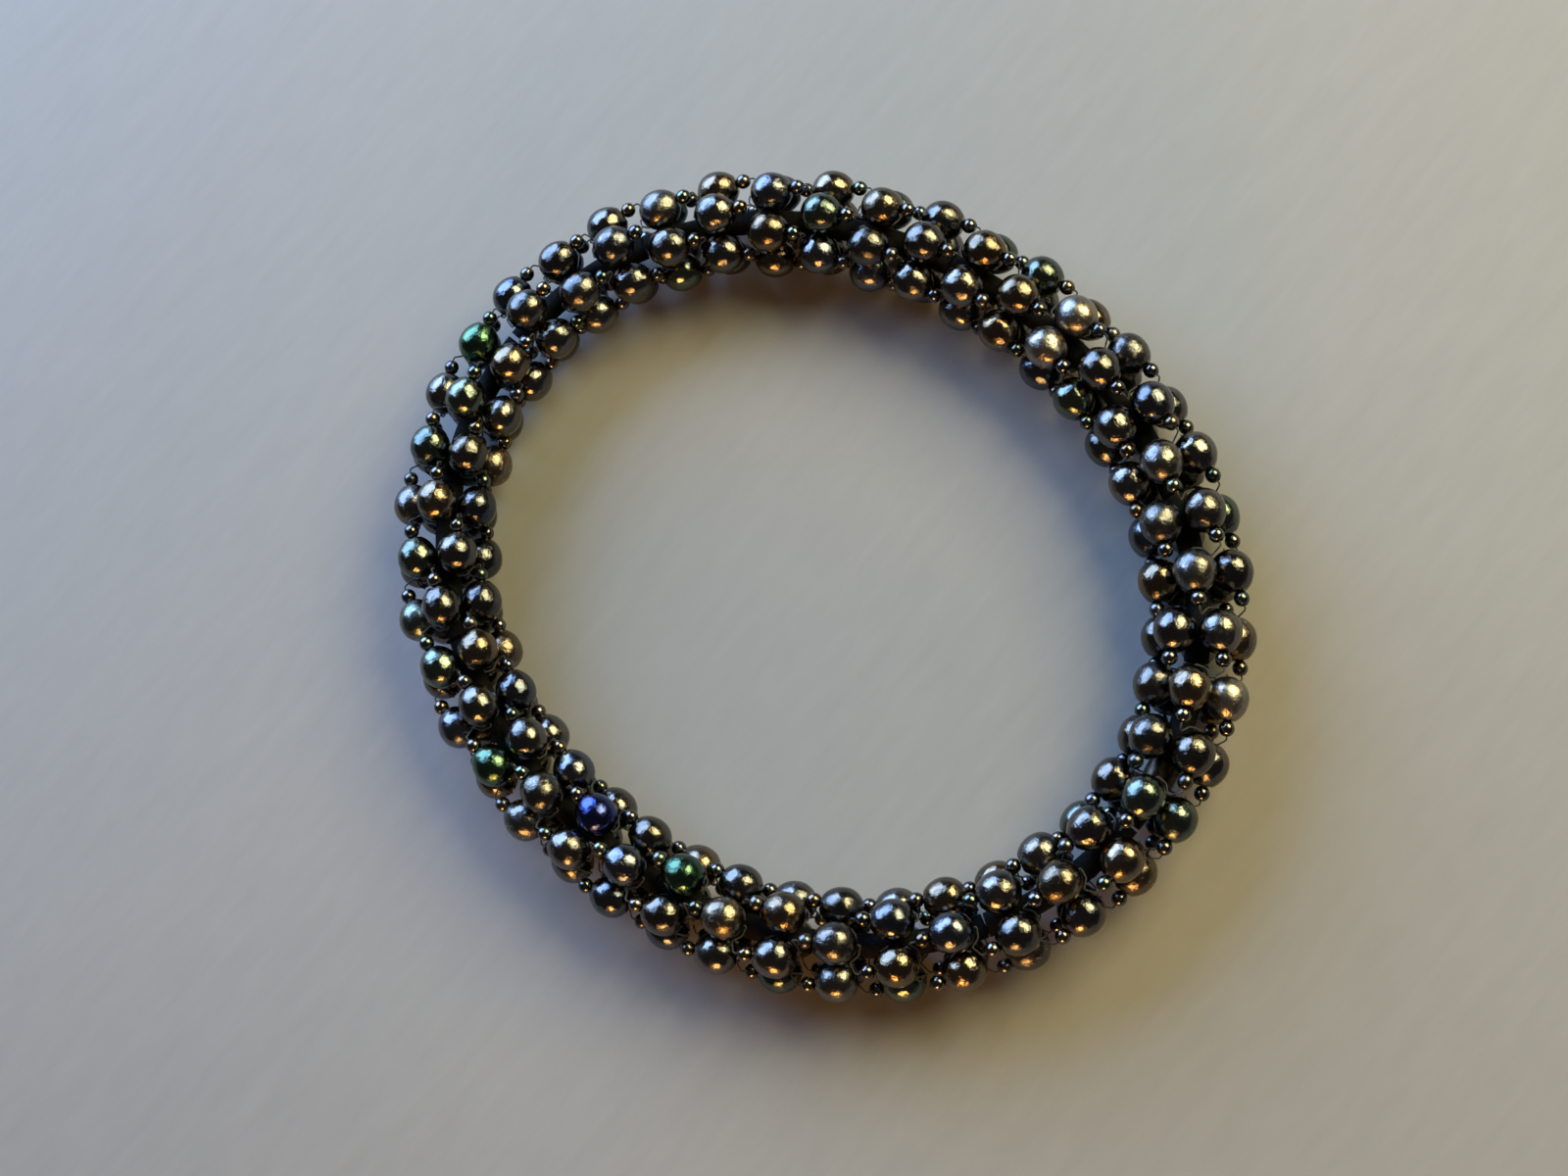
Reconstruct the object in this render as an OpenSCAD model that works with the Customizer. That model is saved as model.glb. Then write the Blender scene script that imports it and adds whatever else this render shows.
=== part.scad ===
/* [Ring] */
// Number of bead rosettes around the ring
row_count = 42; // [42]
// Distance from one rosette to the next along the cord
row_pitch = 5.6; // [5.5:0.05:5.8]
// Oval stretch of the ring, 0 is a true circle
oval = 0.085; // [0:0.005:0.12]
// Number of bead columns in one rosette
beads_per_row = 5; // [5]

/* [Beads] */
// Diameter of the large drop-shaped beads
large_d = 4.2; // [4:0.05:4.2]
// How far the narrow end of a large bead reaches back from its middle
large_tail = 2.2; // [2.15:0.01:2.22]
// Diameter of the narrow end of a large bead
large_tip_d = 1.7; // [1.5:0.1:2]
// Diameter of the hole through a large bead
large_hole_d = 0.8; // [0.6:0.1:1]
// How far the narrow end of each bead tips outwards from the cord
bead_tip = 12; // [10:1:14]
// Diameter of the small round linking beads
small_d = 1.55; // [1.4:0.05:1.6]
// Diameter of the hole through a small bead
small_hole_d = 0.6; // [0.5:0.05:0.7]
// Side gap between neighbouring large beads of one rosette
side_gap = 0.03; // [0.02:0.01:0.1]

/* [Cord and thread] */
// Diameter of the elastic core cord
core_d = 2.4; // [2:0.1:2.5]
// Number of flexing lengths that the core cord is divided into
core_parts = 14; // [14]
// Play between the end of each length and the flex line
flex_play = 0.15; // [0.1:0.05:0.2]
// Play where the two halves of the ring meet, opposite the crimp
open_play = 0.5; // [0.4:0.1:0.6]
// Width of the stringing thread
thread_w = 0.16; // [0.1:0.02:0.16]
// Outer diameter of the crimp sleeve on the core
crimp_d = 3.2; // [3:0.1:3.4]
// Length of the crimp sleeve
crimp_len = 2.0; // [1.6:0.1:2.2]

/* [Hidden] */

// Beads touch side by side on a circle of this radius around the cord
step = 360 / beads_per_row;
bead_circle = (large_d + side_gap) / 2 / sin(step / 2);
// Half outline of a drop-shaped bead as [radius, place along its hole]: an arc that widens from the
// narrow end to the middle, and a round front
taper = (large_d - large_tip_d) / 2;
tail_arc = (large_tail * large_tail + taper * taper) / (2 * taper);
tail_turn = asin(large_tail / tail_arc);
front_turn = acos(large_hole_d / large_d);
drop_profile = concat(
    [[large_hole_d / 2, -large_tail]],
    [for (j = [0 : 7]) let (f = -tail_turn + tail_turn * j / 7)
        [large_d / 2 - tail_arc * (1 - cos(f)), tail_arc * sin(f)]],
    [for (j = [1 : 9]) let (f = front_turn * j / 9)
        [large_d / 2 * cos(f), large_d / 2 * sin(f)]]);

// A small bead sits this far from the middle of the large bead of its column, against its narrow end
small_back = large_tail + small_d / 2 - 0.05;
// Alternate rosettes are turned by half a bead: odd ones have a bead straight up and one straight down
first_turn = step / 2;
rows_per_part = row_count / core_parts;
// Height of the cord's centre above the surface that the beads stand on
lie_height = bead_circle + max([for (p = drop_profile) p[0] * cos(bead_tip) - p[1] * sin(bead_tip)]);
// Mean radius of the centre line, from its length
mean_r = row_count * row_pitch / (2 * PI * (1 + oval * oval));

// Polar angle of the point a share u (in degrees) of the way around the centre line
function step_t(u, t) = u - ((oval / 2) * sin(2 * t) - (oval * oval / 4) * sin(4 * t)) * 180 / PI / (1 + oval * oval);
function polar(u, n = 5) = n == 0 ? u : step_t(u, polar(u, n - 1));
function reach(t) = mean_r * (1 + oval * cos(2 * t));
function spot(u) = let (t = polar(u)) [reach(t) * cos(t), reach(t) * sin(t), lie_height];
// Heading of the centre line, counter-clockwise seen from above
function heading(u) = let (t = polar(u)) t + 90 + atan2(2 * oval * sin(2 * t), 1 + oval * cos(2 * t));
// Share of the way around at rosette i, and at the flex line after part p
function row_u(i) = (i - 0.5) * 360 / row_count;
function flex_u(p) = (p * rows_per_part) * 360 / row_count;
function row_turn(i) = first_turn + i * step / 2;

// A point given along the cord, across it and above it at rosette i
function at_row(i, v) = let (a = heading(row_u(i)), c = spot(row_u(i)))
    [c[0] + v[0] * cos(a) - v[1] * sin(a), c[1] + v[0] * sin(a) + v[1] * cos(a), c[2] + v[2]];
// The same point before it is turned around the cord by f
function turned(f, v) = [v[0], v[1] * cos(f) - v[2] * sin(f), v[1] * sin(f) + v[2] * cos(f)];

module place_row(i) {
    translate(spot(row_u(i))) rotate([0, 0, heading(row_u(i))]) children();
}

module large_bead() {
    rotate([0, 90, 0]) rotate_extrude($fn = 36) polygon(drop_profile);
}

module small_bead() {
    rotate([0, 90, 0])
    difference() {
        sphere(d = small_d, $fn = 28);
        cylinder(d = small_hole_d, h = small_d + 2, center = true, $fn = 20);
    }
}

// One rosette: a ring of drop-shaped beads, narrow end towards the rosette before, each with its small bead behind it
module bead_row(i) {
    color([0.16, 0.15, 0.15])
    place_row(i)
    for (k = [0 : beads_per_row - 1])
        rotate([row_turn(i) + k * step, 0, 0]) {
            translate([0, 0, bead_circle]) rotate([0, bead_tip, 0]) {
                large_bead();
                translate([-small_back, 0, 0]) small_bead();
            }
        }
}

// Centre of the circle through three points of the centre line
function around(a, b, c) = let (
    d = 2 * (a[0] * (b[1] - c[1]) + b[0] * (c[1] - a[1]) + c[0] * (a[1] - b[1])),
    qa = a[0] * a[0] + a[1] * a[1], qb = b[0] * b[0] + b[1] * b[1], qc = c[0] * c[0] + c[1] * c[1])
    [(qa * (b[1] - c[1]) + qb * (c[1] - a[1]) + qc * (a[1] - b[1])) / d,
     (qa * (c[0] - b[0]) + qb * (a[0] - c[0]) + qc * (b[0] - a[0])) / d];

// One length of the elastic core under three rosettes: an arc of round cord,
// cut square just short of the flex line at each end
module core_segment(p) {
    a = spot(flex_u(p - 1));
    b = spot((flex_u(p - 1) + flex_u(p)) / 2);
    c = spot(flex_u(p));
    o = around(a, b, c);
    bend = norm([a[0] - o[0], a[1] - o[1]]);
    back = (p == core_parts / 2 + 1 ? open_play / 2 : flex_play) * 180 / PI / bend;
    front = (p == core_parts / 2 ? open_play / 2 : flex_play) * 180 / PI / bend;
    a0 = atan2(a[1] - o[1], a[0] - o[0]);
    a1 = atan2(c[1] - o[1], c[0] - o[0]);
    sweep = (a1 - a0 + 720) % 360;
    color([0.10, 0.10, 0.11])
    translate([o[0], o[1], lie_height]) rotate([0, 0, a0 + back])
    rotate_extrude(angle = sweep - back - front, $fn = 240)
    translate([bend, 0]) circle(d = core_d, $fn = 32);
}

// Sleeve that joins the two cut ends of the elastic core
module core_crimp() {
    u = (row_u(1) + row_u(2)) / 2 + 0.2;
    color([0.55, 0.50, 0.42])
    translate(spot(u)) rotate([0, 0, heading(u)]) rotate([0, 90, 0])
    difference() {
        cylinder(d = crimp_d, h = crimp_len, center = true, $fn = 32);
        cylinder(d = core_d + 0.3, h = crimp_len + 2, center = true, $fn = 32);
    }
}

// The thread runs along the ring through one small and one large bead of every rosette, stepping half
// a bead sideways each time, and goes around the ring once for every bead of a rosette
front_mouth = large_d / 2 + 0.2;
back_mouth = small_back + small_d / 2 + 0.35;
// Points at rosette i: behind the small bead, ahead of the large one, and two on the way to the
// next small bead, in front of the shoulders of the large beads
thread_x = [-back_mouth * cos(bead_tip), front_mouth * cos(bead_tip), large_d / 2 + 0.02, large_d / 2 - 0.78];
thread_r = [bead_circle + back_mouth * sin(bead_tip), bead_circle - front_mouth * sin(bead_tip), bead_circle - 0.47, bead_circle - 0.19];
thread_across = [0, 0, 0.54, 0.86];
function thread_side(i) = i % 2 == 0 && i < row_count ? -1 : 1;
function thread_angle(i, k, m) = row_turn(i) % step + k * step + thread_across[m] * thread_side(i) * step / 2;
thread_steps = [for (k = [0 : beads_per_row - 1]) for (i = [1 : row_count]) for (m = [0 : 3]) [i, k, m]];
thread_pts = [for (q = thread_steps) at_row(q[0], turned(thread_angle(q[0], q[1], q[2]), [thread_x[q[2]], 0, thread_r[q[2]]]))];
thread_out = [for (q = thread_steps) let (a = heading(row_u(q[0])), v = turned(thread_angle(q[0], q[1], q[2]), [0, 0, 1]))
    unit([-v[1] * sin(a), v[1] * cos(a), v[2]])];
function unit(v) = v / norm(v);
thread_n = len(thread_pts);
function thread_dir(j) = unit(thread_pts[min(j + 1, thread_n - 1)] - thread_pts[max(j, 0)]);
function ring_at(j) = let (
    a = j > 0 ? unit(thread_pts[j] - thread_pts[j - 1]) : unit(thread_pts[1] - thread_pts[0]),
    b = j < thread_n - 1 ? unit(thread_pts[j + 1] - thread_pts[j]) : a,
    t = unit(a + b),
    o = thread_out[j],
    s = unit(cross(o, t)),
    w = unit(cross(t, s)),
    wide = 1 / max(0.6, a * t),
    h = thread_w / 2)
    [thread_pts[j] + h * wide * s + h * w, thread_pts[j] - h * wide * s + h * w,
     thread_pts[j] - h * wide * s - h * w, thread_pts[j] + h * wide * s - h * w];

module stringing_thread() {
    color([0.06, 0.06, 0.06])
    polyhedron(
        points = [for (j = [0 : thread_n - 1]) each ring_at(j)],
        faces = concat(
            [[0, 1, 2, 3]],
            [for (j = [0 : thread_n - 2]) for (q = [0 : 3])
                let (a = j * 4 + q, b = j * 4 + (q + 1) % 4)
                each [[a, a + 4, b + 4], [a, b + 4, b]]],
            [[for (q = [3 : -1 : 0]) (thread_n - 1) * 4 + q]]),
        convexity = 10);
}

core_segment(1);  // core_segment_01
core_segment(2);  // core_segment_02
core_segment(3);  // core_segment_03
core_segment(4);  // core_segment_04
core_segment(5);  // core_segment_05
core_segment(6);  // core_segment_06
core_segment(7);  // core_segment_07
core_segment(8);  // core_segment_08
core_segment(9);  // core_segment_09
core_segment(10);  // core_segment_10
core_segment(11);  // core_segment_11
core_segment(12);  // core_segment_12
core_segment(13);  // core_segment_13
core_segment(14);  // core_segment_14
core_crimp();
stringing_thread();
bead_row(1);  // bead_row_01
bead_row(2);  // bead_row_02
bead_row(3);  // bead_row_03
bead_row(4);  // bead_row_04
bead_row(5);  // bead_row_05
bead_row(6);  // bead_row_06
bead_row(7);  // bead_row_07
bead_row(8);  // bead_row_08
bead_row(9);  // bead_row_09
bead_row(10);  // bead_row_10
bead_row(11);  // bead_row_11
bead_row(12);  // bead_row_12
bead_row(13);  // bead_row_13
bead_row(14);  // bead_row_14
bead_row(15);  // bead_row_15
bead_row(16);  // bead_row_16
bead_row(17);  // bead_row_17
bead_row(18);  // bead_row_18
bead_row(19);  // bead_row_19
bead_row(20);  // bead_row_20
bead_row(21);  // bead_row_21
bead_row(22);  // bead_row_22
bead_row(23);  // bead_row_23
bead_row(24);  // bead_row_24
bead_row(25);  // bead_row_25
bead_row(26);  // bead_row_26
bead_row(27);  // bead_row_27
bead_row(28);  // bead_row_28
bead_row(29);  // bead_row_29
bead_row(30);  // bead_row_30
bead_row(31);  // bead_row_31
bead_row(32);  // bead_row_32
bead_row(33);  // bead_row_33
bead_row(34);  // bead_row_34
bead_row(35);  // bead_row_35
bead_row(36);  // bead_row_36
bead_row(37);  // bead_row_37
bead_row(38);  // bead_row_38
bead_row(39);  // bead_row_39
bead_row(40);  // bead_row_40
bead_row(41);  // bead_row_41
bead_row(42);  // bead_row_42
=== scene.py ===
import math
import random

import bmesh
import bpy
from mathutils import Matrix, Vector, noise


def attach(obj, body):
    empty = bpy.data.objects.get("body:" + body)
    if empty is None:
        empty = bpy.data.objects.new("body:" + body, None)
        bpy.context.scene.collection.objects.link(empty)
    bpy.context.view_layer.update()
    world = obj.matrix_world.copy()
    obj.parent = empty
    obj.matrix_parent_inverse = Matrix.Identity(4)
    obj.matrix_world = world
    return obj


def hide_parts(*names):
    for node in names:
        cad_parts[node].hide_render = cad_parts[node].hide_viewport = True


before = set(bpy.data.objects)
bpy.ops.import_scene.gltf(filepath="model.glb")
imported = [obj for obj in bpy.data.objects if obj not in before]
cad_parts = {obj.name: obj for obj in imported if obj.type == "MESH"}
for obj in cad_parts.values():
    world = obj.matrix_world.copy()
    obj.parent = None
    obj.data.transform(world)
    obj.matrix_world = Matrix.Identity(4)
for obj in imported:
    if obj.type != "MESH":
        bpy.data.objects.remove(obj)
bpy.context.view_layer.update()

scene = bpy.context.scene

# ---------------------------------------------------------------- the ring's geometry, in metres
ROWS = 42
COLS = 5
PITCH = 0.0056
OVAL = 0.085
LARGE_R = 0.0021         # widest part of a drop-shaped bead
LARGE_TAIL = 0.0022      # from its middle back to its narrow end
LARGE_TIP = 0.00085
LARGE_HOLE = 0.0004
TIP = math.radians(12)   # how far the narrow end tips outwards
SMALL_R = 0.000775
SMALL_HOLE = 0.0003
SIDE_GAP = 0.00003
STEP = 360.0 / COLS
BEAD_CIRCLE = (2 * LARGE_R + SIDE_GAP) / 2 / math.sin(math.radians(STEP / 2))
SMALL_BACK = LARGE_TAIL + SMALL_R - 0.00005
LIE = 0.00570344         # the cord's height above the table
MEAN_R = ROWS * PITCH / (2 * math.pi * (1 + OVAL * OVAL))


def polar(u):
    t = u
    for _ in range(5):
        t = u - ((OVAL / 2) * math.sin(math.radians(2 * t)) - (OVAL * OVAL / 4) * math.sin(math.radians(4 * t))) * 180 / math.pi / (1 + OVAL * OVAL)
    return t


def spot(u):
    t = polar(u)
    r = MEAN_R * (1 + OVAL * math.cos(math.radians(2 * t)))
    return Vector((r * math.cos(math.radians(t)), r * math.sin(math.radians(t)), LIE))


def heading(u):
    t = polar(u)
    return t + 90 + math.degrees(math.atan2(2 * OVAL * math.sin(math.radians(2 * t)), 1 + OVAL * math.cos(math.radians(2 * t))))


def row_u(i):
    return (i - 0.5) * 360.0 / ROWS


def row_turn(i):
    return STEP / 2 + i * STEP / 2


def row_matrix(i):
    return Matrix.Translation(spot(row_u(i))) @ Matrix.Rotation(math.radians(heading(row_u(i))), 4, "Z")


def column_matrix(i, k):
    return row_matrix(i) @ Matrix.Rotation(math.radians(row_turn(i) + k * STEP), 4, "X")


# ---------------------------------------------------------------- camera, at the photo's angle
TURN = math.radians(40.06)       # the picture's right-hand direction, seen in the ring's frame
TILT = math.radians(16.65)
TILT_TO = math.radians(-45.5)
DIST = 0.21551
AIM = Vector((-0.0023, -0.00165, LIE))


def from_picture(x, y, z=0.0):
    """A direction given right and up in the picture's plane, and off the table, as one in the ring's frame."""
    return Matrix.Rotation(TURN, 3, "Z") @ Vector((x, y, z))


def make_camera():
    aim = Matrix.Rotation(TURN, 3, "Z") @ Vector((AIM.x, AIM.y, 0)) + Vector((0, -0.00015, AIM.z))
    back = from_picture(math.sin(TILT) * math.cos(TILT_TO), math.sin(TILT) * math.sin(TILT_TO), math.cos(TILT))
    up = from_picture(0, 1, 0)
    right = up.cross(back).normalized()
    up = back.cross(right).normalized()
    cam_data = bpy.data.cameras.new("camera")
    cam_data.sensor_width = 36
    cam_data.lens = 49.5
    cam_data.clip_start = 0.005
    cam_data.clip_end = 20
    cam = bpy.data.objects.new("camera", cam_data)
    m = Matrix((right, up, back)).transposed().to_4x4()
    m.translation = aim + back * DIST
    cam.matrix_world = m
    scene.collection.objects.link(cam)
    scene.camera = cam
    return cam


make_camera()


# ---------------------------------------------------------------- materials
class Tree:
    """A short way to write node trees."""

    def __init__(self, name):
        self.mat = bpy.data.materials.new(name)
        self.mat.use_nodes = True
        self.nt = self.mat.node_tree
        self.nt.nodes.clear()
        self.out = self.nt.nodes.new("ShaderNodeOutputMaterial")
        self.bsdf = self.nt.nodes.new("ShaderNodeBsdfPrincipled")
        self.link(self.bsdf.outputs[0], self.out.inputs[0])

    def link(self, a, b):
        self.nt.links.new(a, b)

    def node(self, kind, **inputs):
        n = self.nt.nodes.new(kind)
        for key, value in inputs.items():
            if key in ("operation", "blend_type", "data_type", "noise_dimensions", "attribute_name", "feature", "clamp"):
                setattr(n, key, value)
        for key, value in inputs.items():
            if key in ("operation", "blend_type", "data_type", "noise_dimensions", "attribute_name", "feature", "clamp"):
                continue
            self.put(n.inputs[key.replace("_", " ") if key.replace("_", " ") in n.inputs else key], value)
        return n

    def put(self, socket, value):
        if isinstance(value, bpy.types.NodeSocket):
            self.link(value, socket)
        else:
            socket.default_value = value

    def noise(self, vec, scale, detail=3.0, rough=0.55):
        n = self.nt.nodes.new("ShaderNodeTexNoise")
        self.put(n.inputs["Vector"], vec)
        n.inputs["Scale"].default_value = scale
        n.inputs["Detail"].default_value = detail
        n.inputs["Roughness"].default_value = rough
        return n

    def ramp(self, fac, stops):
        n = self.nt.nodes.new("ShaderNodeValToRGB")
        e = n.color_ramp.elements
        while len(e) < len(stops):
            e.new(0.5)
        for el, (p, c) in zip(e, stops):
            el.position = p
            el.color = c if len(c) == 4 else (*c, 1)
        self.put(n.inputs[0], fac)
        return n

    def math(self, op, a, b=None, c=None, clamp=False):
        n = self.nt.nodes.new("ShaderNodeMath")
        n.operation = op
        n.use_clamp = clamp
        for s, v in zip(n.inputs, (a, b, c)):
            if v is not None:
                self.put(s, v)
        return n.outputs[0]

    def mix(self, fac, a, b, blend="MIX"):
        n = self.nt.nodes.new("ShaderNodeMix")
        n.data_type = "RGBA"
        n.blend_type = blend
        self.put(n.inputs[0], fac)
        self.put(n.inputs[6], a)
        self.put(n.inputs[7], b)
        return n.outputs[2]

    def attr(self, name):
        n = self.nt.nodes.new("ShaderNodeAttribute")
        n.attribute_name = name
        return n


def bead_material(name, rough_low, rough_high, bump_mm, scratch):
    """Dark gunmetal plating: nearly a mirror, a little lumpy, finely scratched, worn dull in places."""
    t = Tree(name)
    pos = t.attr("bead_pos").outputs["Vector"]
    tint = t.attr("bead_tint").outputs["Color"]
    wear = t.attr("bead_wear").outputs["Fac"]
    broad = t.noise(pos, 450.0, 3.0)
    patch = t.noise(pos, 1300.0, 4.0, 0.6)
    fine = t.noise(pos, 5200.0, 5.0, 0.65)
    # plating varies from brown-black to a warmer bronze, as it thins
    warm = t.ramp(broad.outputs[0], [(0.35, (0.72, 0.76, 0.84)), (0.55, (1.0, 0.97, 0.93)), (0.72, (1.25, 1.05, 0.82))])
    base = t.mix(1.0, tint, warm.outputs[0], "MULTIPLY")
    spots = t.ramp(patch.outputs[0], [(0.60, (0, 0, 0)), (0.68, (1, 1, 1))])
    worn_amount = t.math("MULTIPLY", spots.outputs[0], wear, clamp=True)
    base = t.mix(worn_amount, base, (0.42, 0.39, 0.36, 1))
    t.put(t.bsdf.inputs["Base Color"], base)
    t.bsdf.inputs["Metallic"].default_value = 1.0
    r = t.math("MULTIPLY_ADD", patch.outputs[0], rough_high - rough_low, rough_low - 0.02)
    r = t.math("MULTIPLY_ADD", wear, 0.16, r)
    r = t.math("MULTIPLY_ADD", worn_amount, 0.18, r, clamp=True)
    t.put(t.bsdf.inputs["Roughness"], r)
    # scratches: noise drawn out along one direction
    m = t.nt.nodes.new("ShaderNodeMapping")
    m.inputs["Scale"].default_value = (1.0, 9.0, 1.0)
    m.inputs["Rotation"].default_value = (0.4, 0.2, 0.6)
    t.link(pos, m.inputs["Vector"])
    lines = t.noise(m.outputs[0], 1500.0, 4.0, 0.7)
    h = t.math("MULTIPLY_ADD", broad.outputs[0], 1.0, t.math("MULTIPLY", patch.outputs[0], 0.28))
    h = t.math("MULTIPLY_ADD", lines.outputs[0], scratch, h)
    h = t.math("MULTIPLY_ADD", fine.outputs[0], 0.02, h)
    b = t.nt.nodes.new("ShaderNodeBump")
    b.inputs["Strength"].default_value = 1.0
    b.inputs["Distance"].default_value = bump_mm / 1000.0
    t.put(b.inputs["Height"], h)
    t.link(b.outputs[0], t.bsdf.inputs["Normal"])
    return t.mat


def thread_material():
    t = Tree("dark_thread_painted_shade")
    c = t.nt.nodes.new("ShaderNodeTexCoord")
    pos = c.outputs["Object"]
    ply = t.noise(pos, 6000.0, 3.0)
    # near-black base colour: partly the dark thread, partly painted shade so the thread reads as the shaded gaps
    # between the beads
    col = t.ramp(ply.outputs[0], [(0.35, (0.006, 0.006, 0.006)), (0.65, (0.022, 0.020, 0.019))])
    t.put(t.bsdf.inputs["Base Color"], col.outputs[0])
    t.bsdf.inputs["Roughness"].default_value = 0.62
    t.bsdf.inputs["Sheen Weight"].default_value = 0.08
    b = t.nt.nodes.new("ShaderNodeBump")
    b.inputs["Distance"].default_value = 0.00006
    t.put(b.inputs["Height"], ply.outputs[0])
    t.link(b.outputs[0], t.bsdf.inputs["Normal"])
    return t.mat


def core_material():
    t = Tree("elastic_core_painted_shade")
    c = t.nt.nodes.new("ShaderNodeTexCoord")
    pos = c.outputs["Object"]
    rib = t.noise(pos, 2500.0, 2.0)
    # near-black base colour: partly the dark elastic, partly painted shade standing for the dark gaps between the beads
    col = t.ramp(rib.outputs[0], [(0.4, (0.002, 0.002, 0.002)), (0.7, (0.006, 0.006, 0.006))])
    t.put(t.bsdf.inputs["Base Color"], col.outputs[0])
    t.bsdf.inputs["Roughness"].default_value = 0.85
    t.bsdf.inputs["Specular IOR Level"].default_value = 0.12
    b = t.nt.nodes.new("ShaderNodeBump")
    b.inputs["Distance"].default_value = 0.00005
    t.put(b.inputs["Height"], rib.outputs[0])
    t.link(b.outputs[0], t.bsdf.inputs["Normal"])
    return t.mat


def crimp_material():
    t = Tree("crimp_metal")
    c = t.nt.nodes.new("ShaderNodeTexCoord")
    n = t.noise(c.outputs["Object"], 1800.0, 4.0)
    col = t.ramp(n.outputs[0], [(0.35, (0.020, 0.017, 0.014)), (0.7, (0.060, 0.048, 0.036))])
    t.put(t.bsdf.inputs["Base Color"], col.outputs[0])
    t.bsdf.inputs["Metallic"].default_value = 1.0
    t.bsdf.inputs["Roughness"].default_value = 0.38
    return t.mat


def floor_material():
    t = Tree("painted_table")
    c = t.nt.nodes.new("ShaderNodeTexCoord")
    pos = c.outputs["Object"]
    cloud = t.noise(pos, 9.0, 4.0)
    m = t.nt.nodes.new("ShaderNodeMapping")
    m.inputs["Scale"].default_value = (5.0, 1.0, 1.0)
    m.inputs["Rotation"].default_value = (0, 0, -TURN)
    t.link(pos, m.inputs["Vector"])
    brush = t.noise(m.outputs[0], 120.0, 5.0, 0.6)
    col = t.ramp(t.math("MULTIPLY_ADD", brush.outputs[0], 0.5, t.math("MULTIPLY", cloud.outputs[0], 0.5)), [(0.35, (0.190, 0.180, 0.172)), (0.65, (0.212, 0.200, 0.191))])
    t.put(t.bsdf.inputs["Base Color"], col.outputs[0])
    t.bsdf.inputs["Roughness"].default_value = 0.7
    b = t.nt.nodes.new("ShaderNodeBump")
    b.inputs["Strength"].default_value = 0.5
    b.inputs["Distance"].default_value = 0.00008
    t.put(b.inputs["Height"], brush.outputs[0])
    t.link(b.outputs[0], t.bsdf.inputs["Normal"])
    return t.mat


LARGE_MAT = bead_material("gunmetal_large", 0.10, 0.22, 0.20, 0.06)
SMALL_MAT = bead_material("gunmetal_small", 0.13, 0.24, 0.07, 0.03)
THREAD_MAT = thread_material()
CORE_MAT = core_material()
CRIMP_MAT = crimp_material()


# ---------------------------------------------------------------- beads
def rounded(pts, reach, per):
    """A half outline with each inner corner turned into a short curve."""
    out = [pts[0]]
    for j in range(1, len(pts) - 1):
        p, q, r = Vector(pts[j - 1]), Vector(pts[j]), Vector(pts[j + 1])
        a = q + (p - q).normalized() * min(reach, (p - q).length * 0.45)
        b = q + (r - q).normalized() * min(reach, (r - q).length * 0.45)
        for n in range(per):
            f = n / (per - 1)
            c = a * (1 - f) ** 2 + q * 2 * f * (1 - f) + b * f ** 2
            out.append((c.x, c.y))
    out.append(pts[-1])
    return out


def drop_profile(fat):
    """Half outline (along the bore, radius) of a drop-shaped bead; fat moves its widest point."""
    taper = LARGE_R - LARGE_TIP
    arc = (LARGE_TAIL * LARGE_TAIL + taper * taper) / (2 * taper)
    turn = math.asin(LARGE_TAIL / arc)
    pts = [(-LARGE_TAIL + 0.0006, LARGE_HOLE), (-LARGE_TAIL, LARGE_HOLE)]
    pts = rounded(pts + [(-LARGE_TAIL, LARGE_TIP), (-arc * math.sin(turn * 0.93), LARGE_R - arc * (1 - math.cos(turn * 0.93)))], 0.00016, 4)
    for j in range(1, 12):
        f = -turn * (1 - j / 11) * 0.93
        pts.append((arc * math.sin(f), LARGE_R - arc * (1 - math.cos(f))))
    front = math.acos(LARGE_HOLE / LARGE_R)
    for j in range(1, 15):
        f = front * j / 14 * 0.965
        pts.append((LARGE_R * math.sin(f) * fat, LARGE_R * math.cos(f)))
    x = LARGE_R * math.sin(front) * fat
    pts += [(x - 0.00003, LARGE_HOLE + 0.00003), (x - 0.00016, LARGE_HOLE), (x - 0.0008, LARGE_HOLE)]
    return pts


def round_profile(radius, hole, rings):
    """Half outline of a small round bead along its bore."""
    start = math.asin(hole / radius) * 1.12
    end = radius * math.cos(start)
    pts = [(-end + 0.0004, hole), (-end + 0.00008, hole)]
    for j in range(rings + 1):
        a = start + (math.pi - 2 * start) * j / rings
        pts.append((-radius * math.cos(a), radius * math.sin(a)))
    return pts + [(end - 0.00008, hole), (end - 0.0004, hole)]


def add_bead(store, place, prof, sides, rng, tint, wear, lump, squat):
    """Adds one bead with its bore along local X to the vertex and face lists. Lumps only take away from it."""
    verts, faces, pos, tints, wears = store
    first = len(verts)
    seed = Vector((rng.uniform(-50, 50), rng.uniform(-50, 50), rng.uniform(-50, 50)))
    spin = rng.uniform(0, 2 * math.pi)
    wide = Vector((1.0, rng.uniform(squat, 1.0), rng.uniform(squat, 1.0)))
    hole = prof[0][1]
    for (x, r) in prof:
        for s in range(sides):
            a = spin + 2 * math.pi * s / sides
            p = Vector((x, r * math.cos(a), r * math.sin(a)))
            d = noise.noise(p * 900.0 + seed)
            near = min(1.0, max(0.0, (r - hole * 1.15) / hole))
            k = 1 - near * lump * (0.5 + 0.5 * d)
            q = Vector((p.x * (1 - 0.4 * near * lump * (0.5 + 0.5 * d)), p.y * k * (wide.y * near + 1 - near), p.z * k * (wide.z * near + 1 - near)))
            verts.append(place @ q)
            pos.append(p + seed * 0.001)
            tints.append(tint)
            wears.append(wear)
    n = len(prof)
    for j in range(n):
        j2 = (j + 1) % n        # the last ring joins the first through the bore
        for s in range(sides):
            s2 = (s + 1) % sides
            faces.append((first + j * sides + s, first + j2 * sides + s, first + j2 * sides + s2, first + j * sides + s2))


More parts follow.
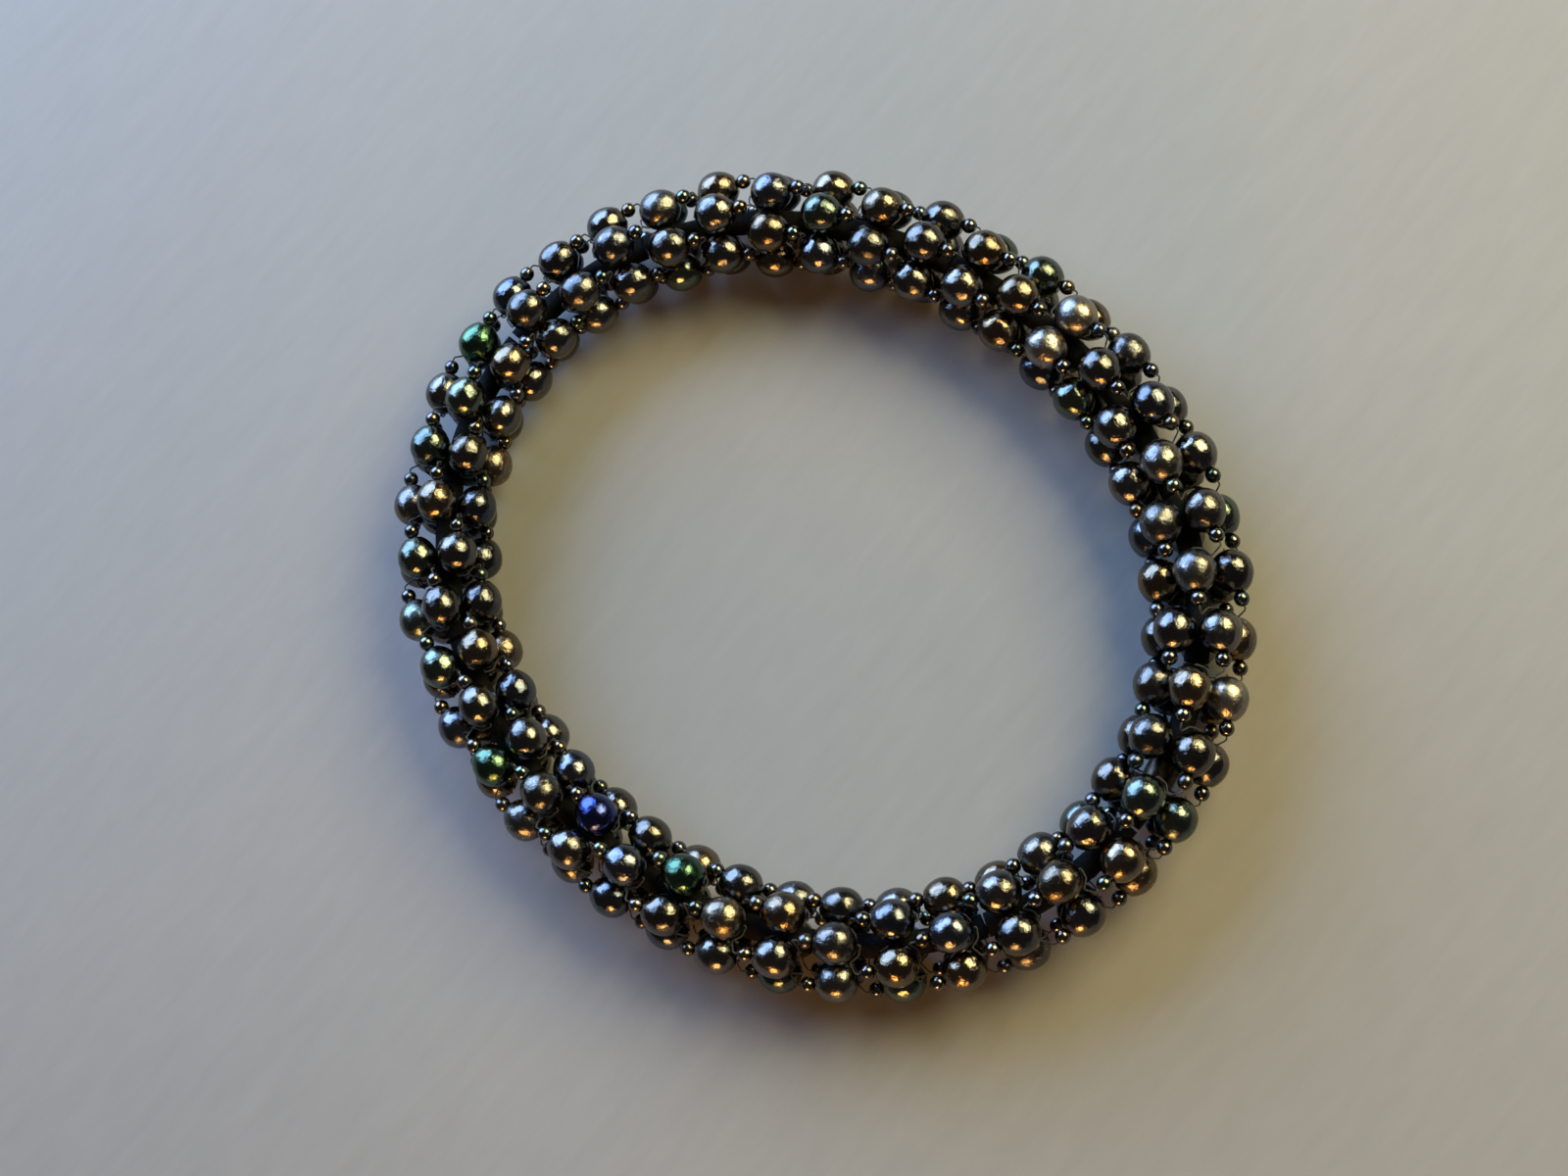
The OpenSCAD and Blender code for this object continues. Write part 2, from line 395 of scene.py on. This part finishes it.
def build(name, store, mat):
    verts, faces, pos, tints, wears = store
    mesh = bpy.data.meshes.new(name)
    mesh.from_pydata(verts, [], faces)
    mesh.validate()
    a = mesh.attributes.new("bead_pos", "FLOAT_VECTOR", "POINT")
    a.data.foreach_set("vector", [c for p in pos for c in p])
    a = mesh.attributes.new("bead_tint", "FLOAT_COLOR", "POINT")
    a.data.foreach_set("color", [c for p in tints for c in (*p, 1.0)])
    a = mesh.attributes.new("bead_wear", "FLOAT", "POINT")
    a.data.foreach_set("value", wears)
    for poly in mesh.polygons:
        poly.use_smooth = True
    bm = bmesh.new()
    bm.from_mesh(mesh)
    bmesh.ops.recalc_face_normals(bm, faces=bm.faces)
    bm.to_mesh(mesh)
    bm.free()
    mesh.materials.append(mat)
    ob = bpy.data.objects.new(name, mesh)
    scene.collection.objects.link(ob)
    return ob


# beads that differ from the rest: (row, column) -> (tint, wear)
ODD_BEADS = {
    (32, 3): ([0.045, 0.060, 0.200], 0.0),
    (22, 4): ([0.060, 0.130, 0.085], 0.1),
    (30, 0): ([0.070, 0.125, 0.085], 0.1),
    (34, 2): ([0.060, 0.120, 0.080], 0.1),
    (10, 0): ([0.260, 0.240, 0.215], 0.9),
    (10, 4): ([0.240, 0.215, 0.190], 0.8),
    (3, 4): ([0.260, 0.235, 0.205], 0.9),
}


def bead_look(rng, i, k):
    if (i, k) in ODD_BEADS:
        return ODD_BEADS[(i, k)]
    v = rng.uniform(0.78, 1.18)
    c = [0.130 * v, 0.124 * v, 0.118 * v]
    kind = rng.random()
    if kind < 0.16:
        c = [c[0] * 0.86, c[1] * 1.08, c[2] * 0.98]       # a green cast
    elif kind < 0.28:
        c = [c[0] * 0.88, c[1] * 0.98, c[2] * 1.22]       # a blue cast
    elif kind < 0.40:
        c = [c[0] * 1.25, c[1] * 1.05, c[2] * 0.80]       # bronze
    w = rng.random() ** 4 * 0.7
    return c, w


for i in range(1, ROWS + 1):
    rng = random.Random(1000 + i)
    body = "bead_row_%02d" % i
    large = ([], [], [], [], [])
    small = ([], [], [], [], [])
    for k in range(COLS):
        m = column_matrix(i, k) @ Matrix.Translation((0, 0, BEAD_CIRCLE)) @ Matrix.Rotation(TIP, 4, "Y")
        tint, wear = bead_look(rng, i, k)
        add_bead(large, m, drop_profile(rng.uniform(0.975, 1.0)), 36, rng, tint, wear, 0.022, 0.985)
        tint2, wear2 = bead_look(rng, -i, k)
        add_bead(small, m @ Matrix.Translation((-SMALL_BACK, 0, 0)), round_profile(SMALL_R, SMALL_HOLE, 12), 20, rng, tint2, wear2, 0.03, 0.98)
    ob = build("row_%02d_large_beads" % i, large, LARGE_MAT)
    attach(ob, body)
    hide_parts(body)
    ob = build("row_%02d_small_beads" % i, small, SMALL_MAT)
    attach(ob, body)
    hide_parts(body)

# ---------------------------------------------------------------- thread, in lengths that move with each rosette
FRONT_MOUTH = LARGE_R + 0.0002
BACK_MOUTH = SMALL_BACK + SMALL_R + 0.00035
THREAD = [      # along the cord, away from it, and share of the step sideways
    (-BACK_MOUTH * math.cos(TIP), BEAD_CIRCLE + BACK_MOUTH * math.sin(TIP), 0),
    (FRONT_MOUTH * math.cos(TIP), BEAD_CIRCLE - FRONT_MOUTH * math.sin(TIP), 0),
    (LARGE_R + 0.00002, BEAD_CIRCLE - 0.00047, 0.54),
    (LARGE_R - 0.00078, BEAD_CIRCLE - 0.00019, 0.86),
]


def thread_point(i, k, m):
    """Behind the small bead, ahead of the large one, and twice on the way to the next small bead."""
    x, r, across = THREAD[m]
    side = -1 if i % 2 == 0 and i < ROWS else 1
    angle = row_turn(i) % STEP + k * STEP + across * side * STEP / 2
    return row_matrix(i) @ (Matrix.Rotation(math.radians(angle), 4, "X") @ Vector((x, 0, r)))


def thread_length(i, k):
    pts = [thread_point(i, k, m) for m in range(4)]
    if (i, k) != (1, 0):
        before = thread_point(i - 1, k, 3) if i > 1 else thread_point(ROWS, k - 1, 3)
        pts.insert(0, before * 0.7 + pts[0] * 0.3)
    if (i, k) != (ROWS, COLS - 1):
        after = thread_point(i + 1, k, 0) if i < ROWS else thread_point(1, k + 1, 0)
        pts.append(after * 0.3 + pts[-1] * 0.7)
    return pts


def smooth_path(pts, per=5):
    """Rounds the corners of a path a little, as a taut thread rounds them."""
    out = []
    n = len(pts)
    for j in range(n):
        p = pts[j]
        if j in (0, n - 1):
            out.append(p)
            continue
        a = p + (pts[j - 1] - p).normalized() * min(0.00022, (pts[j - 1] - p).length * 0.35)
        b = p + (pts[j + 1] - p).normalized() * min(0.00022, (pts[j + 1] - p).length * 0.35)
        for s in range(per):
            f = s / (per - 1)
            out.append(a * (1 - f) ** 2 + p * 2 * f * (1 - f) + b * f ** 2)
    return out


def add_tube(verts, faces, pts, radius, sides, twist=0.0, ply=0.0):
    first = len(verts)
    side = None
    for j, p in enumerate(pts):
        d = (pts[min(j + 1, len(pts) - 1)] - pts[max(j - 1, 0)]).normalized()
        if side is None:
            side = d.orthogonal().normalized()
        side = (side - d * side.dot(d)).normalized()
        other = d.cross(side)
        for s in range(sides):
            a = 2 * math.pi * s / sides
            r = radius * (1 - ply + ply * abs(math.cos(a * 1.5 + twist * j)))
            verts.append(p + (side * math.cos(a) + other * math.sin(a)) * r)
    for j in range(len(pts) - 1):
        for s in range(sides):
            s2 = (s + 1) % sides
            faces.append((first + j * sides + s, first + j * sides + s2, first + (j + 1) * sides + s2, first + (j + 1) * sides + s))
    faces.append(tuple(first + s for s in range(sides))[::-1])
    faces.append(tuple(first + (len(pts) - 1) * sides + s for s in range(sides)))


for i in range(1, ROWS + 1):
    verts, faces = [], []
    for k in range(COLS):
        add_tube(verts, faces, smooth_path(thread_length(i, k)), 0.00009, 8, twist=0.5, ply=0.12)
    mesh = bpy.data.meshes.new("row_%02d_thread" % i)
    mesh.from_pydata(verts, [], faces)
    for poly in mesh.polygons:
        poly.use_smooth = True
    mesh.materials.append(THREAD_MAT)
    ob = bpy.data.objects.new("row_%02d_thread" % i, mesh)
    scene.collection.objects.link(ob)
    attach(ob, "bead_row_%02d" % i)
    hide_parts("stringing_thread")

# ---------------------------------------------------------------- what the CAD shapes keep
for name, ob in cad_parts.items():
    if name.startswith("core_segment"):
        ob.data.materials.clear()
        ob.data.materials.append(CORE_MAT)
    elif name == "core_crimp":
        ob.data.materials.clear()
        ob.data.materials.append(CRIMP_MAT)

# ---------------------------------------------------------------- floor and light
bm = bmesh.new()
bmesh.ops.create_grid(bm, x_segments=2, y_segments=2, size=1.5)
mesh = bpy.data.meshes.new("floor")
bm.to_mesh(mesh)
bm.free()
mesh.materials.append(floor_material())
floor = bpy.data.objects.new("floor", mesh)
floor.location = (0, 0, 0.0)
scene.collection.objects.link(floor)


def panel(name, azimuth, elevation, distance, width, height, power, colour):
    """A soft area light. Azimuth is counter-clockwise from the picture's right-hand side."""
    a, e = math.radians(azimuth), math.radians(elevation)
    d = from_picture(math.cos(a) * math.cos(e), math.sin(a) * math.cos(e), math.sin(e))
    data = bpy.data.lights.new(name, "AREA")
    data.shape = "RECTANGLE"
    data.size = width
    data.size_y = height
    data.energy = power
    data.color = colour
    ob = bpy.data.objects.new(name, data)
    ob.location = d * distance + Vector((0, 0, LIE))
    ob.rotation_euler = d.to_track_quat("Z", "Y").to_euler()
    scene.collection.objects.link(ob)
    return ob


panel("window_cool", 130, 27, 0.55, 0.60, 0.46, 10.2, (0.38, 0.60, 1.0))
panel("window_cream", 38, 42, 0.55, 0.38, 0.32, 5.3, (1.0, 0.90, 0.48))
panel("lamp_warm", 266, 14, 0.5, 0.17, 0.08, 1.5, (1.0, 0.50, 0.14))

world = bpy.data.worlds.new("room")
world.use_nodes = True
world.node_tree.nodes["Background"].inputs[0].default_value = (0.050, 0.044, 0.042, 1)
world.node_tree.nodes["Background"].inputs[1].default_value = 1.0
scene.world = world
scene.view_settings.view_transform = "Standard"
